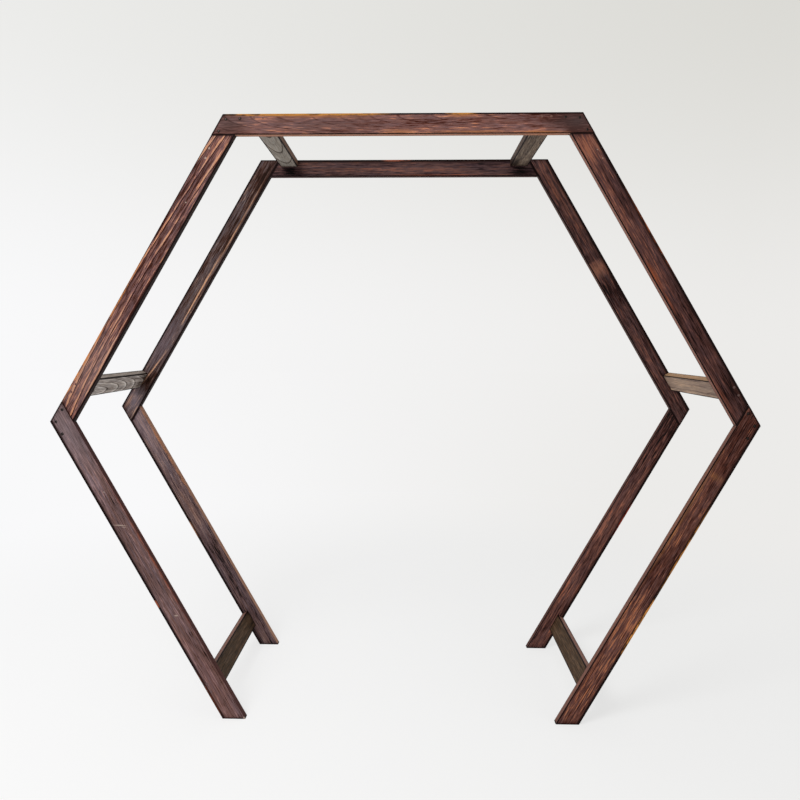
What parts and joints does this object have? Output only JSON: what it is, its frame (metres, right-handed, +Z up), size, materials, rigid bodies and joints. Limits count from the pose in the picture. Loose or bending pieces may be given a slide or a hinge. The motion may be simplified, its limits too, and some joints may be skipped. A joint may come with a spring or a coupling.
{
  "type": "wedding arch",
  "caption": "Free-standing hexagonal wedding arch of stained timber, with front and rear frames half-lapped at the corners, held apart by short spacer boards and open at the floor.",
  "frame": {"origin": "middle of the footprint on the floor, halfway between the front and rear frames", "axes": "+X to the right of someone facing the front frame, +Y from the front frame to the rear frame, +Z up"},
  "size_m": [2.438, 0.6666, 2.0934],
  "materials": {
    "stained_pine": "walnut stain, satin",
    "spacer_pine": "thin grey-brown stain, satin",
    "screw_steel": "black phosphate coat on steel, smooth, a little worn"
  },
  "bodies": {
    "root": {"front_top_rail": "stained_pine", "front_left_upper_leg": "stained_pine", "front_right_upper_leg": "stained_pine", "front_left_lower_leg": "stained_pine", "front_right_lower_leg": "stained_pine", "rear_top_rail": "stained_pine", "rear_left_upper_leg": "stained_pine", "rear_right_upper_leg": "stained_pine", "rear_left_lower_leg": "stained_pine", "rear_right_lower_leg": "stained_pine", "top_left_spacer": "spacer_pine", "top_right_spacer": "spacer_pine", "left_knee_spacer": "spacer_pine", "right_knee_spacer": "spacer_pine", "left_foot_spacer": "spacer_pine", "right_foot_spacer": "spacer_pine"}
  },
  "joints": []
}
